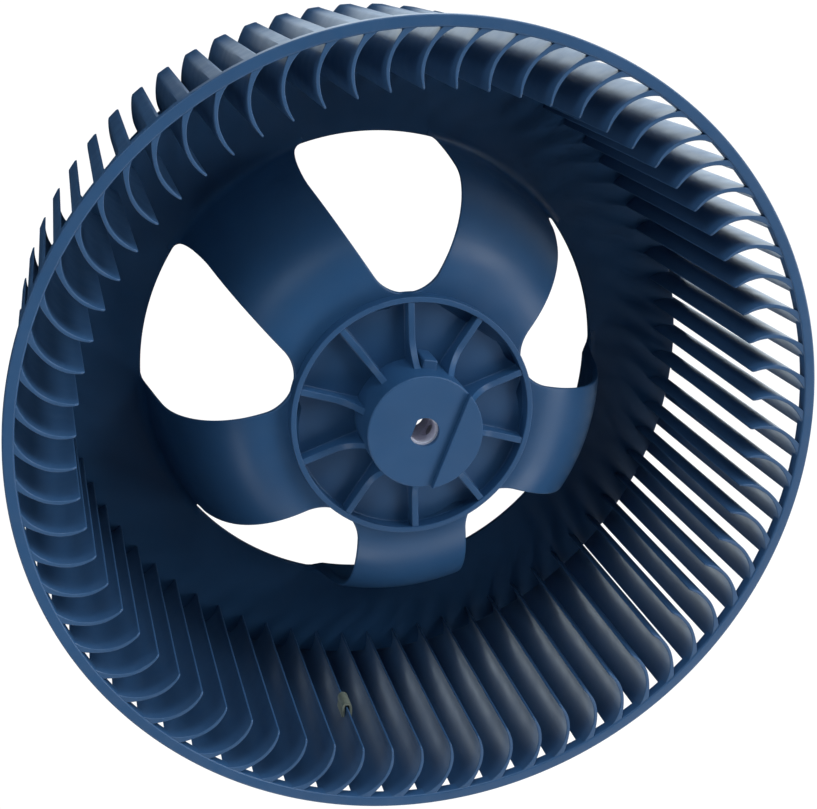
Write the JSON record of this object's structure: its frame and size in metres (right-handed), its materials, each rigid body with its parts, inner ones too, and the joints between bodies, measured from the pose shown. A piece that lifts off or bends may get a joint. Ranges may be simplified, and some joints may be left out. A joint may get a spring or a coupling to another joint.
{
  "type": "blower motor wheel",
  "caption": "Forward-curved centrifugal blower wheel with a windowed hub dome, a ribbed boss, a D-bored metal insert and a set screw.",
  "frame": {"origin": "on the wheel's axis, at the level of the blades' rear ends", "axes": "+Z along the axis from the back to the inlet ring; +X to the right and +Y up when the wheel is looked at from the inlet"},
  "size_m": [0.2498, 0.25, 0.1],
  "materials": {
    "ring_plastic": "satin navy-blue moulded plastic",
    "blade_plastic": "semi-gloss navy-blue moulded plastic",
    "dome_plastic": "satin navy-blue moulded plastic",
    "hub_plastic": "satin navy-blue moulded plastic",
    "insert_metal": "machined, bright",
    "screw_steel": "bright zinc-plated steel",
    "clip_steel": "zinc-plated spring steel"
  },
  "bodies": {
    "wheel": {"front_ring": "ring_plastic", "blade_group_01": "blade_plastic", "blade_group_02": "blade_plastic", "blade_group_03": "blade_plastic", "blade_group_04": "blade_plastic", "blade_group_05": "blade_plastic", "blade_group_06": "blade_plastic", "blade_group_07": "blade_plastic", "blade_group_08": "blade_plastic", "blade_group_09": "blade_plastic", "blade_group_10": "blade_plastic", "blade_group_11": "blade_plastic", "blade_group_12": "blade_plastic", "blade_group_13": "blade_plastic", "blade_group_14": "blade_plastic", "blade_group_15": "blade_plastic", "blade_group_16": "blade_plastic", "blade_group_17": "blade_plastic", "blade_group_18": "blade_plastic", "blade_group_19": "blade_plastic", "blade_group_20": "blade_plastic", "blade_group_21": "blade_plastic", "blade_group_22": "blade_plastic", "blade_group_23": "blade_plastic", "back_plate": "dome_plastic", "dome_arm_01": "dome_plastic", "dome_arm_02": "dome_plastic", "dome_arm_03": "dome_plastic", "dome_arm_04": "dome_plastic", "dome_arm_05": "dome_plastic", "hub_floor": "hub_plastic", "hub_ring": "hub_plastic", "hub_rib_01": "hub_plastic", "hub_rib_02": "hub_plastic", "hub_rib_03": "hub_plastic", "hub_rib_04": "hub_plastic", "hub_rib_05": "hub_plastic", "hub_rib_06": "hub_plastic", "hub_rib_07": "hub_plastic", "hub_rib_08": "hub_plastic", "hub_rib_09": "hub_plastic", "hub_rib_10": "hub_plastic", "hub_boss": "hub_plastic", "hub_insert": "insert_metal", "balance_clip": "clip_steel"},
    "screw": {"set_screw": "screw_steel"}
  },
  "joints": [
    {"name": "set_screw_travel", "type": "slide", "parent": "wheel", "child": "screw", "axis": [0.8616, -0.5075, 0], "range_m": [0, 0.004]}
  ]
}
